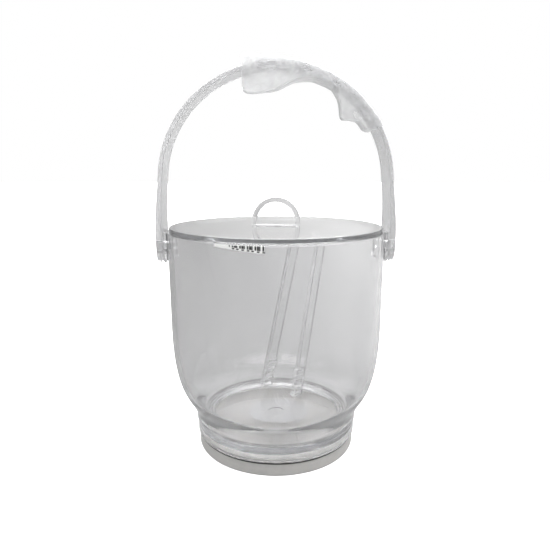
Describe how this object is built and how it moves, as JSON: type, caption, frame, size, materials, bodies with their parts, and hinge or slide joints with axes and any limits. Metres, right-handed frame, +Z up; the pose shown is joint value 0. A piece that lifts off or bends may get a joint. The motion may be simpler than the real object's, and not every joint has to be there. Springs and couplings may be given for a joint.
{
  "type": "ice bucket",
  "caption": "Clear plastic ice bucket with a flat strap carrying handle, a loose lid with a finger hoop, and tongs leaning inside.",
  "frame": {"origin": "centre of the base's underside, on the surface the bucket stands on", "axes": "+Z up, +X to the right along the bail's pivot axis, front towards -Y"},
  "size_m": [0.1806, 0.1624, 0.2936],
  "materials": {
    "clear_body": "polished clear polystyrene, slightly grey at its edges",
    "clear_lid": "polished clear polystyrene",
    "clear_bail": "polished clear polystyrene with faint flow lines",
    "clear_tongs": "polished clear polystyrene with fine scuffs",
    "frosted_base": "frosted, mottled translucent plastic",
    "white_disc": "smooth translucent white",
    "label_paper": "coated paper with plain black bars",
    "wrap_film": "thin crinkled clear film"
  },
  "bodies": {
    "bucket": {"bucket_body": "clear_body", "base_cap": "frosted_base", "floor_disc": "white_disc", "barcode_label": "label_paper", "pivot_pin_left": "clear_body", "pivot_pin_right": "clear_body"},
    "lid": {"lid_disc": "clear_lid", "lid_hoop": "clear_lid"},
    "bail": {"bail_strap": "clear_bail", "handle_film": "wrap_film"},
    "tongs_left": {"tongs_arm_left": "clear_tongs"},
    "tongs_right": {"tongs_arm_right": "clear_tongs"}
  },
  "joints": [
    {"name": "bail_swing", "type": "hinge", "parent": "bucket", "child": "bail", "pos_m": [0, 0, 0.1574], "axis": [1, 0, 0], "range_deg": [-115, 115]},
    {"name": "lid_lift", "type": "slide", "parent": "bucket", "child": "lid", "axis": [0, -0.7659, 0.6429], "range_m": [0, 0.24]},
    {"name": "tongs_lift", "type": "slide", "parent": "bucket", "child": "tongs_left", "axis": [0, 0, 1], "range_m": [0, 0.15]},
    {"name": "tongs_squeeze", "type": "hinge", "parent": "tongs_left", "child": "tongs_right", "pos_m": [0.03105, 0.05732, 0.15876], "axis": [0.4941, 0.8321, -0.2521], "range_deg": [0, 9.5], "stiffness_Nm_per_rad": 2}
  ],
  "couplings": [
    {"joint": "tongs_lift", "follows": "lid_lift", "ratio": 0.625}
  ]
}
